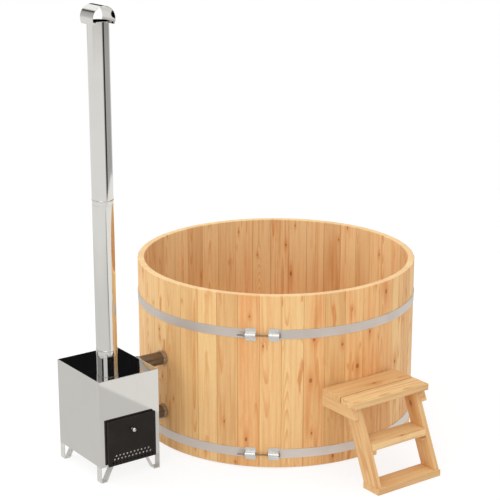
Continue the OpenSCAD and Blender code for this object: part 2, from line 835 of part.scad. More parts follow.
module door() color("#2a2826") {
    difference() {
        block([door_x0, door_y0, door_z0], [door_x1, door_y1, door_z1]);
        block(
            [door_x0 + door_t, door_y0 + door_t, door_z0 + door_t],
            [door_x1 - door_t, door_y1 + eps, door_z1 - door_t]
        );
        // room for the hinge barrels along the lower rear edge
        block(
            [door_x0 - eps, hinge_y - hinge_clear, door_z0 - eps],
            [door_x1 + eps, door_y1 + eps, hinge_z + hinge_clear]
        );
        for (place = air_hole_places)
            translate([door_mid + place[0], door_y0 - eps, door_z0 + place[1]])
                rotate([-90, 0, 0]) cylinder(d = air_hole_d, h = door_t + 2 * eps);
        translate([door_mid, door_y0 - eps, door_z0 + knob_rise])
            rotate([-90, 0, 0]) cylinder(r = neck_d / 4 + hole_fit, h = door_t + 2 * eps);
    }
    at_hinges() for (side = [-1, 1]) {
        x0 = side > 0 ? knuckle / 2 + hole_fit : -3 * knuckle / 2 - hole_fit;
        difference() {
            union() {
                x_cylinder(barrel_d / 2, x0, x0 + knuckle);
                block([x0, -hinge_clear - door_t, -barrel_d / 2], [x0 + knuckle, 0, -barrel_d / 2 + door_t]);
            }
            x_cylinder(pin_d / 2 + pin_fit, x0 - eps, x0 + knuckle + eps);
        }
    }
}

module door_hinge_pins() color("gray") at_hinges()
    x_cylinder(pin_d / 2, -3 * knuckle / 2 - pin_end, 3 * knuckle / 2 + pin_end);

// Bright plate behind the door face, on four spacers
module door_shield() color("silver") {
    x0 = door_x0 + shield_margin;
    x1 = door_x1 - shield_margin;
    z0 = door_z0 + shield_rise;
    z1 = door_z1 - shield_margin;
    face_y = door_y0 + door_t;
    block([x0, face_y + shield_gap, z0], [x1, face_y + shield_gap + shield_t, z1]);
    for (x = [x0 + shield_margin, x1 - shield_margin], z = [z0 + 3 * shield_margin, z1 - shield_margin])
        translate([x, face_y, z]) rotate([-90, 0, 0]) cylinder(d = neck_d, h = shield_gap + shield_t / 2);
}

// Ball on a neck, with the stud through the door face
module door_knob() color("white") translate([door_mid, door_y0, door_z0 + knob_rise]) rotate([90, 0, 0]) {
    translate([0, 0, -door_t - shield_gap / 2]) cylinder(r = neck_d / 4, h = door_t + shield_gap / 2 + eps);
    cylinder(d = neck_d, h = neck_l + knob_d / 4);
    translate([0, 0, neck_l + knob_d / 2]) sphere(d = knob_d);
}

// ---- chimney ----

module at_chimney(z) translate([stove_x, chimney_y, z]) children();

// Profile of a tube section with a narrower spigot on its upper end
module spigot_profile(h) polygon([
    [chimney_r - chimney_wall, 0], [chimney_r, 0], [chimney_r, h],
    [spigot_r, h], [spigot_r, h + spigot_l],
    [spigot_r - chimney_wall, h + spigot_l], [spigot_r - chimney_wall, h - chimney_wall],
    [chimney_r - chimney_wall, h - chimney_wall]
]);

module flue_stub() color("silver") at_chimney(box_z1) {
    bead_z = chimney_foot_z - box_z1 - bead_w;
    tube(spigot_r, chimney_wall, bead_z + bead_w + spigot_l);
    translate([0, 0, bead_z]) tube(chimney_r, chimney_r - spigot_r + chimney_wall / 2, bead_w);
}

module chimney_lower() color("gainsboro") at_chimney(chimney_foot_z)
    rotate_extrude() spigot_profile(chimney_joint_z - chimney_foot_z);

module chimney_upper() color("gainsboro") at_chimney(chimney_joint_z)
    tube(chimney_r, chimney_wall, chimney_top_z - chimney_joint_z);

// Short drum across the chimney, open at both ends and open below between the tube's sides
module chimney_cap() color("gainsboro") translate([stove_x, chimney_y + cap_l / 2, cap_z])
    rotate([90, 0, 0]) linear_extrude(cap_l) difference() {
        circle(r = cap_r, $fn = 128);
        circle(r = cap_r - cap_t, $fn = 128);
        translate([-cap_d, -cap_d - cap_edge_drop]) square([2 * cap_d, cap_d]);
    }

// ---- pipes ----

module at_pipe(z) translate([0, pipe_y, z]) children();

module pipe(z) at_pipe(z) difference() {
    x_cylinder(pipe_r, pipe_x0, pipe_x1);
    x_cylinder(pipe_r - pipe_wall, pipe_x0 - eps, pipe_x1 + eps);
}

module upper_pipe() color("silver") pipe(upper_pipe_z);

module lower_pipe() color("silver") pipe(lower_pipe_z);

// A ring round a pipe
module ring(d, x0, x1) difference() {
    x_cylinder(d / 2, x0, x1);
    x_cylinder(pipe_r + pin_fit, x0 - eps, x1 + eps);
}

module at_both_pipes() for (z = [lower_pipe_z, upper_pipe_z]) at_pipe(z) children();

// Collars scribed to the round wall of the tub
module tub_collars() color("silver") difference() {
    at_both_pipes() ring(collar_d, -tub_r - collar_l, -inner_r);
    cylinder(r = tub_r + curve_fit, h = tub_h, $fn = big_fn);
}

module stove_collars() color("silver")
    at_both_pipes() ring(collar_d, stove_right, stove_right + collar_l);

module inner_flanges() color("silver") intersection() {
    at_both_pipes() ring(flange_d, -inner_r - eps, -inner_r + flange_t);
    cylinder(r = inner_r - curve_fit, h = tub_h, $fn = big_fn);
}

// ---- step ----

// Front line of the legs at a height, along Y
function leg_front(z) = base_front_y + leg_setback + (z - step_board_t) * tan(leg_lean);

// A plate in the YZ plane from an outline of [y, z] points, between two x
module side_plate(x0, x1, outline)
    translate([x0, 0, 0]) rotate([90, 0, 90]) linear_extrude(x1 - x0) polygon(outline);

// Places a mirrored pair about the middle of the step
module step_pair() translate([step_x, 0, 0]) for (side = [0, 1]) mirror([side, 0, 0]) children();

module seat_board(y0, y1)
    block([step_x - step_l / 2, y0, seat_foot_z], [step_x + step_l / 2, y1, step_top]);

module step_back_board() color("burlywood") seat_board(seat_back_y - back_board_w, seat_back_y);

module step_front_board() color("burlywood") seat_board(seat_front_y, seat_front_y + front_board_w);

module step_rails() color("burlywood") step_pair() {
    z0 = seat_foot_z - rail_h;
    side_plate(leg_x, rail_x, [
        [leg_front(z0), z0], [seat_back_y, z0],
        [seat_back_y, seat_foot_z], [leg_front(seat_foot_z), seat_foot_z]
    ]);
}

module step_legs() color("burlywood") step_pair() {
    foot = leg_front(step_board_t);
    head = leg_front(seat_foot_z);
    side_plate(leg_x - leg_t, leg_x, [
        [foot, step_board_t], [foot + leg_run, step_board_t],
        [head + leg_run, seat_foot_z], [head, seat_foot_z]
    ]);
}

// Middle of the legs at a height, along Y
function leg_middle(z) = leg_front(z) + leg_run / 2;

module step_middle_board() color("burlywood") {
    y = leg_middle(middle_z - step_board_t / 2);
    block(
        [step_x - middle_l / 2, y - middle_w / 2, middle_z - step_board_t],
        [step_x + middle_l / 2, y + middle_w / 2, middle_z]
    );
}

module step_cleats() color("burlywood") step_pair() {
    y = leg_middle(cleat_z + step_cleat_h / 2);
    block(
        [middle_l / 2 - step_cleat_w, y - step_cleat_l / 2, cleat_z],
        [middle_l / 2, y + step_cleat_l / 2, cleat_z + step_cleat_h]
    );
}

module step_base_board() color("burlywood")
    block([step_x - leg_x, base_front_y, 0], [step_x + leg_x, base_front_y + base_w, step_board_t]);

staves();
pipe_staves();
floor_boards();
floor_bearers();
hoop_upper();
hoop_lower();
hoop_lugs();
tension_rods();
tension_washers();
tension_nuts();
bench_boards();
bench_bearers();
bench_legs();
bench_cleats();
drain_fitting();
drain_nut();
drain_plug();
stove_casing();
stove_top();
stove_feet();
firebox();
grate();
door_frame();
door();
door_hinge_pins();
door_shield();
door_knob();
flue_stub();
chimney_lower();
chimney_upper();
chimney_cap();
upper_pipe();
lower_pipe();
tub_collars();
stove_collars();
inner_flanges();
step_back_board();
step_front_board();
step_rails();
step_legs();
step_middle_board();
step_cleats();
step_base_board();
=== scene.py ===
"""Dresses a wooden hot tub with its outside stove, chimney, pipes and step.

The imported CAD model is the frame. Wooden, sheet and turned pieces are copied or modelled
again with softened edges, and every piece gets a finish made of nodes.
"""
from __future__ import annotations

import json
import logging
import math
import sys
from abc import ABC, abstractmethod
from dataclasses import dataclass
from enum import Enum
from functools import partial
from typing import Iterable, NamedTuple, Sequence, Union

import bmesh
import bpy
from mathutils import Matrix, Vector

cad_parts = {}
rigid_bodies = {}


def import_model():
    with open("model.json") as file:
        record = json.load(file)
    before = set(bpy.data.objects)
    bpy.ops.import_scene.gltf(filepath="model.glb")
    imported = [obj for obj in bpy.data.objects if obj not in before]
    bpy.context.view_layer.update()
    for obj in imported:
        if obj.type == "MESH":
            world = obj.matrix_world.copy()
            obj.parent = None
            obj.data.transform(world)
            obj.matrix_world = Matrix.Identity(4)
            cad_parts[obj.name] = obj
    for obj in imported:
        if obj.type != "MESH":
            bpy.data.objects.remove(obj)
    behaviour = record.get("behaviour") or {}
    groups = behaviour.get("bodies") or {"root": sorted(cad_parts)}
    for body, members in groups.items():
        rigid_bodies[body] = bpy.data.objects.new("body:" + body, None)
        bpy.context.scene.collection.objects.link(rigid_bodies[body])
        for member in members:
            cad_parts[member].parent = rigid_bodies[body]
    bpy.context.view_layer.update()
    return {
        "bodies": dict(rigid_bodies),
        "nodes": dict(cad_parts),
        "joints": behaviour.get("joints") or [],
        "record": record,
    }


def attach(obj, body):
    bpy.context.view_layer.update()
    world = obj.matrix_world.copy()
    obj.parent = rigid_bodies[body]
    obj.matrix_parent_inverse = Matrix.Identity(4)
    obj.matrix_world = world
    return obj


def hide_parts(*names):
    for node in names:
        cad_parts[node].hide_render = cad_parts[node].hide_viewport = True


log = logging.getLogger("hot_tub")

Material = bpy.types.Material
Shape = bmesh.types.BMesh
Value = Union["Signal", float]
Point = tuple[float, float, float]

WHITE = (1.0, 1.0, 1.0, 1.0)
BLACK = (0.0, 0.0, 0.0, 1.0)
MERGE = 1e-5  # corners of the CAD closer than this are one corner
SPECK = 1e-7  # the same for turned shapes
ROUND_TURN = 60.0  # on round pieces only rims turn more than this many degrees
FLAT = math.radians(0.6)  # faces that turn less than this are one face
CREASE = math.radians(15)  # faces that turn less than this may be parts of one curve
SOFT_CREASE = math.radians(35)  # edges that turn more than this stay sharp
FULL_TURN = 2 * math.pi
QUARTER = math.pi / 2
DEGREE = 180 / math.pi  # degrees in a radian
FINE_TURN = 128  # steps of a full spin


class Body(Enum):
    """The bodies that pieces ride on."""

    SET = "hot_tub_set"
    DOOR = "stove_door"
    PLUG = "plug"


class Axis(Enum):
    """A coordinate axis."""

    X = 0
    Y = 1
    Z = 2


@dataclass(frozen=True)
class Tone:
    """A colour as it reads in a picture, each part from 0 to 255."""

    red: int
    green: int
    blue: int

    def linear(self) -> tuple[float, float, float, float]:
        """Returns the colour as a shader takes it."""
        parts = (part / 255 for part in (self.red, self.green, self.blue))
        return (
            *(p / 12.92 if p <= 0.04045 else ((p + 0.055) / 1.055) ** 2.4 for p in parts), 1.0
        )


# ---- nodes ----


class Signal:
    """A node's output; +, -, * and / with another output or a number add Math nodes."""

    def __init__(self, graph: Graph, socket: bpy.types.NodeSocket) -> None:
        """Keeps the tree and the socket."""
        self.graph = graph
        self.socket = socket

    def __add__(self, other: Value) -> Signal:
        """Returns the sum."""
        return self.graph.math("ADD", self, other)

    def __mul__(self, other: Value) -> Signal:
        """Returns the product."""
        return self.graph.math("MULTIPLY", self, other)

    def __sub__(self, other: Value) -> Signal:
        """Returns the difference."""
        return self.graph.math("SUBTRACT", self, other)

    def __rsub__(self, other: float) -> Signal:
        """Returns the difference from a number."""
        return self.graph.math("SUBTRACT", other, self)

    def __truediv__(self, other: Value) -> Signal:
        """Returns the quotient."""
        return self.graph.math("DIVIDE", self, other)


class Graph:
    """Builds one shader tree with short calls."""

    def __init__(self, tree: bpy.types.NodeTree) -> None:
        """Empties the tree.

        Args:
            tree: Node tree of a material or a world.
        """
        tree.nodes.clear()
        self.tree = tree

    def node(self, kind: str, **settings: object) -> bpy.types.Node:
        """Adds a node.

        Args:
            kind: Node type without its "ShaderNode" prefix.
            **settings: Properties of the node.

        Returns:
            The node.
        """
        made = self.tree.nodes.new("ShaderNode" + kind)
        for key, value in settings.items():
            setattr(made, key, value)
        return made

    def out(self, node: bpy.types.Node, which: Union[int, str] = 0) -> Signal:
        """Returns an output of a node."""
        return Signal(self, node.outputs[which])

    def feed(self, socket: bpy.types.NodeSocket, value: object) -> None:
        """Links an input to an output, or sets its own value.

        Args:
            socket: Input socket.
            value: Output, tone or plain value.
        """
        if isinstance(value, Signal):
            self.tree.links.new(value.socket, socket)
        else:
            socket.default_value = value.linear() if isinstance(value, Tone) else value

    def fill(self, node: bpy.types.Node, *values: object) -> Signal:
        """Feeds a node's first inputs in order and returns its first output."""
        for socket, value in zip(node.inputs, values):
            self.feed(socket, value)
        return self.out(node)

    def math(self, operation: str, *values: Value, clamp: bool = False) -> Signal:
        """Adds a Math node.

        Args:
            operation: Name of the operation.
            *values: Its one to three inputs.
            clamp: Whether the result stays between 0 and 1.

        Returns:
            The result.
        """
        return self.fill(self.node("Math", operation=operation, use_clamp=clamp), *values)

    def length(self, a: Signal, b: Signal) -> Signal:
        """Returns the length of a plane vector."""
        return self.math("SQRT", a * a + b * b)

    def bell(self, a: Signal, b: Value = 0.0) -> Signal:
        """Returns a smooth hill, 1 where both values are 0."""
        return self.math("EXPONENT", (a * a + b * b) * -1.0)

    def apart(self, vector: Signal) -> tuple[Signal, ...]:
        """Returns the three parts of a vector."""
        made = self.node("SeparateXYZ")
        self.fill(made, vector)
        return tuple(self.out(made, part) for part in range(3))

    def spot(self) -> Signal:
        """Returns the point on the object, in metres."""
        return self.out(self.node("TexCoord"), "Object")

    def place(self) -> tuple[Signal, ...]:
        """Returns the x, y and z of the point on the object, in metres."""
        return self.apart(self.spot())

    def vector(self, x: Value, y: Value, z: Value) -> Signal:
        """Returns a vector made of three values."""
        return self.fill(self.node("CombineXYZ"), x, y, z)

    def noise(
        self, where: Signal, scale: float, detail: float = 2.0, roughness: float = 0.5
    ) -> Signal:
        """Adds smooth noise.

        Args:
            where: Vector that the noise is read at.
            scale: Number of features in a metre.
            detail: Octaves of finer noise.
            roughness: Weight of the finer octaves.

        Returns:
            The noise, between 0 and 1.
        """
        made = self.node("TexNoise")
        for name, value in (
            ("Vector", where), ("Scale", scale), ("Detail", detail), ("Roughness", roughness)
        ):
            self.feed(made.inputs[name], value)
        return self.out(made)

    def draws(self, a: Value, b: Value, c: Value) -> tuple[Signal, ...]:
        """Returns three random values that belong to three whole numbers."""
        random = self.node("TexWhiteNoise", noise_dimensions="3D")
        self.feed(random.inputs["Vector"], self.vector(a, b, c))
        made = self.node("SeparateColor")
        self.fill(made, self.out(random, "Color"))
        return tuple(self.out(made, part) for part in range(3))

    def spread(
        self, value: Value, low: float, high: float, new_low: float = 0.0, new_high: float = 1.0
    ) -> Signal:
        """Returns a value moved smoothly and within limits from one range to another."""
        made = self.node("MapRange", interpolation_type="SMOOTHSTEP")
        return self.fill(made, value, low, high, new_low, new_high)

    def ramp(self, value: Value, stops: Sequence[tuple[float, float]]) -> Signal:
        """Adds a grey that changes between stops.

        Args:
            value: Where the ramp is read, on the scale of the stops.
            stops: Place and level of each stop, from first to last.

        Returns:
            The grey.
        """
        made = self.node("ValToRGB")
        first, last = stops[0][0], stops[-1][0]
        elements = made.color_ramp.elements
        for place, level in stops[1:-1]:
            elements.new((place - first) / (last - first)).color = (level, level, level, 1.0)
        elements[0].color = (*[stops[0][1]] * 3, 1.0)
        elements[len(elements) - 1].color = (*[stops[-1][1]] * 3, 1.0)
        return self.fill(made, self.math("DIVIDE", value - first, last - first, clamp=True))

    def mix(self, share: Value, a: object, b: object, blend: str = "MIX") -> Signal:
        """Mixes two colours.

        Args:
            share: Share of the second colour.
            a: First colour.
            b: Second colour.
            blend: Blend type.

        Returns:
            The mixed colour.
        """
        made = self.node("Mix", data_type="RGBA", blend_type=blend)
        for place, value in ((0, share), (6, a), (7, b)):
            self.feed(made.inputs[place], value)
        return self.out(made, 2)

    def bump(self, height: Value, strength: float, distance: float) -> Signal:
        """Returns a normal raised by a height."""
        made = self.node("Bump")
        for name, value in (("Strength", strength), ("Distance", distance), ("Height", height)):
            self.feed(made.inputs[name], value)
        return self.out(made)

    def either(self, share: Value, first: Signal, second: Signal) -> Signal:
        """Returns two shaders mixed, by the share of the second."""
        return self.fill(self.node("MixShader"), share, first, second)

    def glow(self, kind: str, colour: object, strength: float = 1.0) -> Signal:
        """Adds a shader that gives light.

        Args:
            kind: "Emission" on an object, "Background" in a world.
            colour: Its colour.
            strength: Its strength.

        Returns:
            The shader.
        """
        return self.fill(self.node(kind), colour, strength)


class Coat(Graph):
    """One material with a Principled shader."""

    def __init__(self, name: str) -> None:
        """Starts the material.

        Args:
            name: Name of the material.
        """
        self.material = bpy.data.materials.new(name)
        self.material.use_nodes = True
        super().__init__(self.material.node_tree)
        self.output = self.node("OutputMaterial")
        self.shader = self.node("BsdfPrincipled")
        self.feed(self.output.inputs[0], self.out(self.shader))

    def surface(self, **inputs: object) -> Material:
        """Sets the shader's sockets.

        Args:
            **inputs: What each socket gets, with "_" for each space in its name.

        Returns:
            The material.
        """
        for name, value in inputs.items():
            self.feed(self.shader.inputs[name.replace("_", " ")], value)
        return self.material


# ---- where a point lies in its board ----


class BoardPoint(NamedTuple):
    """A point within its board: metres across, into and along it, and the board's number."""

    across: Signal
    depth: Signal
    along: Signal
    board: Signal


@dataclass(frozen=True)
class BoardLayout(ABC):
    """How boards are laid, so that each gets its own grain."""

    width: float

    @abstractmethod
    def point(self, graph: Graph) -> BoardPoint:
        """Returns the point within its board."""


@dataclass(frozen=True)
class StaveRing(BoardLayout):
    """Upright staves round the tub."""

    count: int = 42
    radius: float = 0.878

    def point(self, graph: Graph) -> BoardPoint:
        """Returns the point within its stave."""
        x, y, z = graph.place()
        pitch = FULL_TURN / self.count
        turn = graph.math("ARCTAN2", y, x)
        steps = (turn - math.pi) / pitch
        stave = graph.math("ROUND", steps)
        across = (steps - stave) * (pitch * self.radius)
        depth = graph.length(x, y) - self.radius
        number = graph.math("FLOORED_MODULO", stave, float(self.count))
        return BoardPoint(across, depth, z, number)


@dataclass(frozen=True)
class BoardRows(BoardLayout):
    """Parallel boards at one pitch."""

    along: Axis = Axis.X
    across: Axis = Axis.Y
    start: float = 0.0
    pitch: float = 1.0

    def point(self, graph: Graph) -> BoardPoint:
        """Returns the point within its board."""
        place = graph.place()
        steps = (place[self.across.value] - self.start) / self.pitch
        board = graph.math("FLOOR", steps)
        across = (steps - (board + 0.5)) * self.pitch
        return BoardPoint(across, place[Axis.Z.value], place[self.along.value], board)


class FanPart(Enum):
    """The pieces of the bench."""

    SEAT = "seat"
    BEARER = "bearer"
    UPRIGHT = "upright"


@dataclass(frozen=True)
class BenchFan(BoardLayout):
    """Bench pieces in sections round the tub."""

    part: FanPart = FanPart.SEAT
    sections: int = 8
    span: float = math.radians(300)
    seat_edge: float = 0.8049
    row_pitch: float = 0.105
    rows: int = 3

    def point(self, graph: Graph) -> BoardPoint:
        """Returns the point within its board."""
        x, y, z = graph.place()
        step = self.span / self.sections
        turn = graph.math("ARCTAN2", y, x)
        turns = (turn + self.span / 2) / step
        if self.part is FanPart.SEAT:
            section = graph.math("FLOOR", turns)
            middle = section + 0.5
        else:
            section = graph.math("ROUND", turns)
            middle = section
        angle = middle * step - self.span / 2
        cos, sin = graph.math("COSINE", angle), graph.math("SINE", angle)
        outward = x * cos + y * sin
        aside = y * cos - x * sin
        if self.part is FanPart.BEARER:
            return BoardPoint(z, aside, outward, section)
        if self.part is FanPart.UPRIGHT:
            return BoardPoint(aside, outward, z, section)
        steps = (self.seat_edge - outward) / self.row_pitch
        row = graph.math("FLOOR", steps)
        within = steps - row - self.width / self.row_pitch / 2
        board = section * float(self.rows) + row
        return BoardPoint(within * self.row_pitch, z, aside, board)


@dataclass(frozen=True)
class StepBoard(BoardLayout):
    """One board of the step, or a pair on its two sides."""

    along: Axis = Axis.X
    across: Axis = Axis.Y
    middle: Point = (0.0, 0.0, 0.0)
    lean: float = 0.0

    def point(self, graph: Graph) -> BoardPoint:
        """Returns the point within the board."""
        place = graph.place()
        x, y, z = (value - number for value, number in zip(place, self.middle))
        side = graph.math("SIGN", x)
        if self.lean:
            cos, sin = math.cos(self.lean), math.sin(self.lean)
            y, z = y * cos - z * sin, y * sin + z * cos
        local = (x, y, z)
        spare = next(axis for axis in Axis if axis not in (self.along, self.across))
        depth = local[spare.value]
        if self.along is Axis.X:
            side = side * 0.0
        else:
            depth = graph.math("ABSOLUTE", depth)
        return BoardPoint(local[self.across.value], depth, local[self.along.value], side + 2.0)


# ---- finishes ----


@dataclass(frozen=True)
class Timber:
    """Planed softwood: pale early wood, orange late wood, streaks and knots."""

    name: str
    layout: BoardLayout
    seed: int
    pale: Tone = Tone(247, 206, 143)
    warm: Tone = Tone(237, 168, 103)
    tan: Tone = Tone(224, 174, 113)
    late: Tone = Tone(218, 136, 66)
    knot: Tone = Tone(160, 92, 44)
    bark: Tone = Tone(96, 52, 28)
    # seam, seam_width and seam_tint set the darkening at board edges: painted shade of the groove
    # between boards, and dirt in it
    seam: float = 0.80
    seam_width: float = 0.0030
    seam_tint: tuple[float, float] = (1.3, 1.7)
    ring: float = 0.0050
    flame: float = 0.017
    knot_cell: float = 0.36
    knot_share: float = 0.55
    end_at: float = 0.0
    # painted highlight on the rim top
    rim_top_light_tone: Tone = Tone(252, 222, 172)
    # painted light on the staves' inner faces
    inner_light_tint: tuple[float, float, float, float] = (0.97, 1.05, 1.22, 1.0)
    roughness: float = 0.52

    def material(self) -> Material:
        """Returns the material."""
        coat = Coat(self.name)
        across, depth, along, board = self.layout.point(coat)
        board = board + (self.seed + 0.5)
        tone, pith, tight = coat.draws(board, 1.5, 2.5)
        streaky, drift, split = coat.draws(board, 7.5, 4.5)
        cool, blot, _ = coat.draws(board, 3.5, 5.5)
        shift = board * 3.7
        shifted = across + shift

        core, ring_edge, halo, push = self._knots(coat, across, along, board)
        rings, flame = self._rings(coat, across, depth, along, (pith, tight, drift), shift, push)

        lengthwise = coat.vector(shifted, depth, along * 0.035)
        fibre = coat.noise(lengthwise, 900.0, 3.0, 0.7)
        streak = coat.noise(lengthwise, 55.0, 3.0, 0.55)
        cloud = coat.noise(coat.vector(shifted, depth, along * 0.3), 7.0)
        resin = coat.noise(coat.vector(shifted, blot, along * 0.22), 26.0, 1.0)

        warmth = coat.spread(tone, 0.1, 0.9, 0.0, 0.72)
        warmth = warmth + coat.spread(streak, 0.38, 0.72, -0.16, 0.4)
        warmth = warmth + coat.spread(cloud, 0.35, 0.7, -0.08, 0.2)
        tanned = coat.spread(cool, 0.35, 0.75, 0.0, 0.9)
        deep = coat.mix(tanned, self.warm, self.tan)
        colour = coat.mix(coat.math("ADD", warmth, 0.0, clamp=True), self.pale, deep)
        blotted = coat.spread(resin, 0.64, 0.74, 0.0, 0.75)
        colour = coat.mix(blotted * coat.spread(blot, 0.3, 0.7), colour, self.late)
        flamed = flame * (split * 0.45 + 0.15)
        colour = coat.mix(rings * (flamed + 0.1), colour, self.late)
        heart = coat.spread(streaky, 0.5, 0.9, 0.0, 0.7) * coat.spread(streak, 0.5, 0.66)
        colour = coat.mix(heart * 0.55, colour, self.late)
        fine = coat.spread(fibre, 0.30, 0.70, 0.93, 1.04)
        colour = coat.mix(1.0, colour, coat.vector(fine, fine, fine), "MULTIPLY")
        marks = ((halo, 0.75, self.late), (core, 0.75, self.knot), (ring_edge, 0.55, self.bark))
        for mark, share, mark_tone in marks:
            colour = coat.mix(mark * share, colour, mark_tone)
        # Each board darkens towards its edges: painted shade of the groove between boards, and
        # dirt in it.
        half = self.layout.width / 2
        aside = coat.math("ABSOLUTE", across)
        edge = coat.spread(aside, half - self.seam_width, half - 0.0002, 1.0, self.seam)
        shade = coat.vector(edge, *(coat.math("POWER", edge, power) for power in self.seam_tint))
        colour = coat.mix(1.0, colour, shade, "MULTIPLY")
        if self.end_at:
            # painted light: the staves' inner faces are made paler and cooler than their outer
            # faces
            inside = coat.spread(depth, -0.020, -0.016, 1.0, 0.0)
            colour = coat.mix(inside, colour, coat.mix(1.0, colour, self.inner_light_tint, "MULTIPLY"))
            # painted highlight: the rim top of the staves is made paler, as light from above makes
            # it
            end = coat.spread(along, self.end_at - 0.0015, self.end_at - 0.0005, 0.0, 0.55)
            colour = coat.mix(end, colour, self.rim_top_light_tone)

        height = rings * 0.35 + fibre * 0.65 + core * 0.3
        rough = coat.spread(fibre, 0.25, 0.75, self.roughness - 0.08, self.roughness + 0.12)
        return coat.surface(
            Base_Color=colour, Roughness=rough, Normal=coat.bump(height, 0.35, 0.0005)
        )

    def _rings(
        self, coat: Coat, across: Signal, depth: Signal, along: Signal,
        draws: Sequence[Signal], shift: Signal, push: Signal,
    ) -> tuple[Signal, Signal]:
        """Returns the late wood of the growth rings and the flame above the pith, from 0 to 1."""
        pith, tight, drift = draws
        sway = coat.noise(coat.vector(shift, 0.0, along), 0.5, 1.0)
        bend = coat.noise(coat.vector(0.0, shift, along), 0.8, 1.0)
        pith_across = pith * 0.11 - 0.055 + sway * 0.06 - 0.03
        tilt = (tight - 0.5) * along * 0.05
        pith_depth = drift * -0.06 + bend * 0.06 + tilt - 0.06
        off = across - pith_across
        slow = coat.vector(across + shift, depth, along * 0.15)
        ripple = coat.noise(slow, 30.0) * 0.004
        radius = coat.length(off, depth - pith_depth) + ripple + push
        width = tight * (self.ring * 0.7) + self.ring * 0.65
        phase = coat.math("FRACT", radius / width)
        late = coat.spread(phase, 0.35, 0.9) * coat.spread(phase, 0.93, 1.0, 1.0, 0.0)
        return late, coat.bell(off / self.flame)

    def _knots(
        self, coat: Coat, across: Signal, along: Signal, board: Signal
    ) -> tuple[Signal, ...]:
        """Returns a knot's core, its dark edge, its warm halo and its push on the rings."""
        steps = (along + board * 0.13 + 9.0) / self.knot_cell
        cell = coat.math("FLOOR", steps)
        aside, rise, size = coat.draws(board, cell + 0.5, 9.5)
        chance, stretch, _ = coat.draws(board, cell + 0.5, 11.5)
        there = coat.math("LESS_THAN", chance, self.knot_share)
        within = steps - cell - (rise * 0.4 + 0.3)
        off_along = within * self.knot_cell
        middle = (aside - 0.5) * (self.layout.width * 0.8)
        radius = size * size * 0.0065 + 0.003
        warp = (coat.noise(coat.vector(across, along, board), 60.0, 1.0) - 0.5) * 0.004
        a = (across - middle + warp) / radius
        b = off_along / (radius * (stretch + 1.0))
        away = coat.length(a, b)
        core = there * coat.spread(away, 0.75, 1.1, 1.0, 0.0)
        ring_edge = there * coat.spread(away, 0.78, 1.0) * coat.spread(away, 1.0, 1.25, 1.0, 0.0)
        halo = there * coat.bell(a * 0.42, b * 0.17)
        hill = coat.bell(a * 0.35, b * 0.3)
        return core, ring_edge, halo, there * hill * radius * 1.6


class Brush(Enum):
    """The way a metal's brush marks run, as the stretch of the noise on each axis."""

    ALONG_Y = (300.0, 2.0, 300.0)
    ALONG_Z = (300.0, 300.0, 2.0)
    ROUND_Z = (2.0, 300.0, 300.0)


@dataclass(frozen=True)
class Steel:
    """Sheet or turned steel with brush marks and faint smears."""

    name: str
    tone: Tone
    roughness: float
    brush: Brush = Brush.ALONG_Z
    marks: float = 0.05
    smear: float = 0.06
    metal: float = 1.0
    dark: Tone = Tone(120, 112, 104)

    def material(self) -> Material:
        """Returns the material."""
        coat = Coat(self.name)
        x, y, z = coat.place()
        if self.brush is Brush.ROUND_Z:
            x, y = coat.math("ARCTAN2", y, x) * 0.9, coat.length(x, y)
        stretched = (part * stretch for part, stretch in zip((x, y, z), self.brush.value))
        lines = coat.noise(coat.vector(*stretched), 1.0, 3.0, 0.6)
        smear = coat.noise(coat.vector(x, y, z), 6.0, 3.0, 0.55)
        dull = coat.spread(smear, 0.42, 0.75, 0.0, self.smear)
        low, high = self.roughness - self.marks, self.roughness + self.marks
        return coat.surface(
            Base_Color=coat.mix(dull, self.tone, self.dark),
            Roughness=coat.spread(lines, 0.3, 0.7, low, high) + dull,
            Metallic=self.metal,
            Normal=coat.bump(lines, self.marks, 0.0002),
        )


@dataclass(frozen=True)
class Enamel:
    """Heat-proof black paint, slightly grained, dusty and worn."""

    name: str
    tone: Tone
    dust: Tone
    roughness: float = 0.38

    def material(self) -> Material:
        """Returns the material."""
        coat = Coat(self.name)
        where = coat.spot()
        peel = coat.noise(where, 700.0, 2.0)
        haze = coat.noise(where, 9.0, 3.0, 0.6)
        specks = coat.noise(where, 1500.0, 1.0)
        dust = coat.spread(haze, 0.45, 0.8, 0.0, 0.35) + coat.spread(specks, 0.66, 0.76, 0.0, 0.25)
        return coat.surface(
            Base_Color=coat.mix(dust, self.tone, self.dust),
            Roughness=coat.spread(haze, 0.3, 0.7, -0.06, 0.1) + self.roughness,
            Specular_IOR_Level=0.2,
            Normal=coat.bump(peel, 0.12, 0.0003),
        )


@dataclass(frozen=True)
class FurnaceIron:
    """Cast or welded iron that has seen fire: grey scale, soot and some rust."""

    name: str
    metal: Tone = Tone(74, 70, 66)
    soot: Tone = Tone(24, 22, 21)
    rust: Tone = Tone(112, 66, 40)
    grain: float = 420.0

    def material(self) -> Material:
        """Returns the material."""
        coat = Coat(self.name)
        where = coat.spot()
        pits = coat.noise(where, self.grain, 3.0, 0.6)
        burnt = coat.noise(where, 7.0, 4.0, 0.6)
        rusty = coat.noise(where, 26.0, 4.0, 0.65)
        sooty = coat.spread(burnt, 0.35, 0.65, 0.25, 1.0)
        colour = coat.mix(sooty, self.metal, self.soot)
        colour = coat.mix(coat.spread(rusty, 0.58, 0.75, 0.0, 0.55), colour, self.rust)
        return coat.surface(
            Base_Color=colour,
            Roughness=coat.spread(pits, 0.3, 0.7, 0.62, 0.85),
            Metallic=0.35,
            Normal=coat.bump(pits, 0.45, 0.0008),
        )


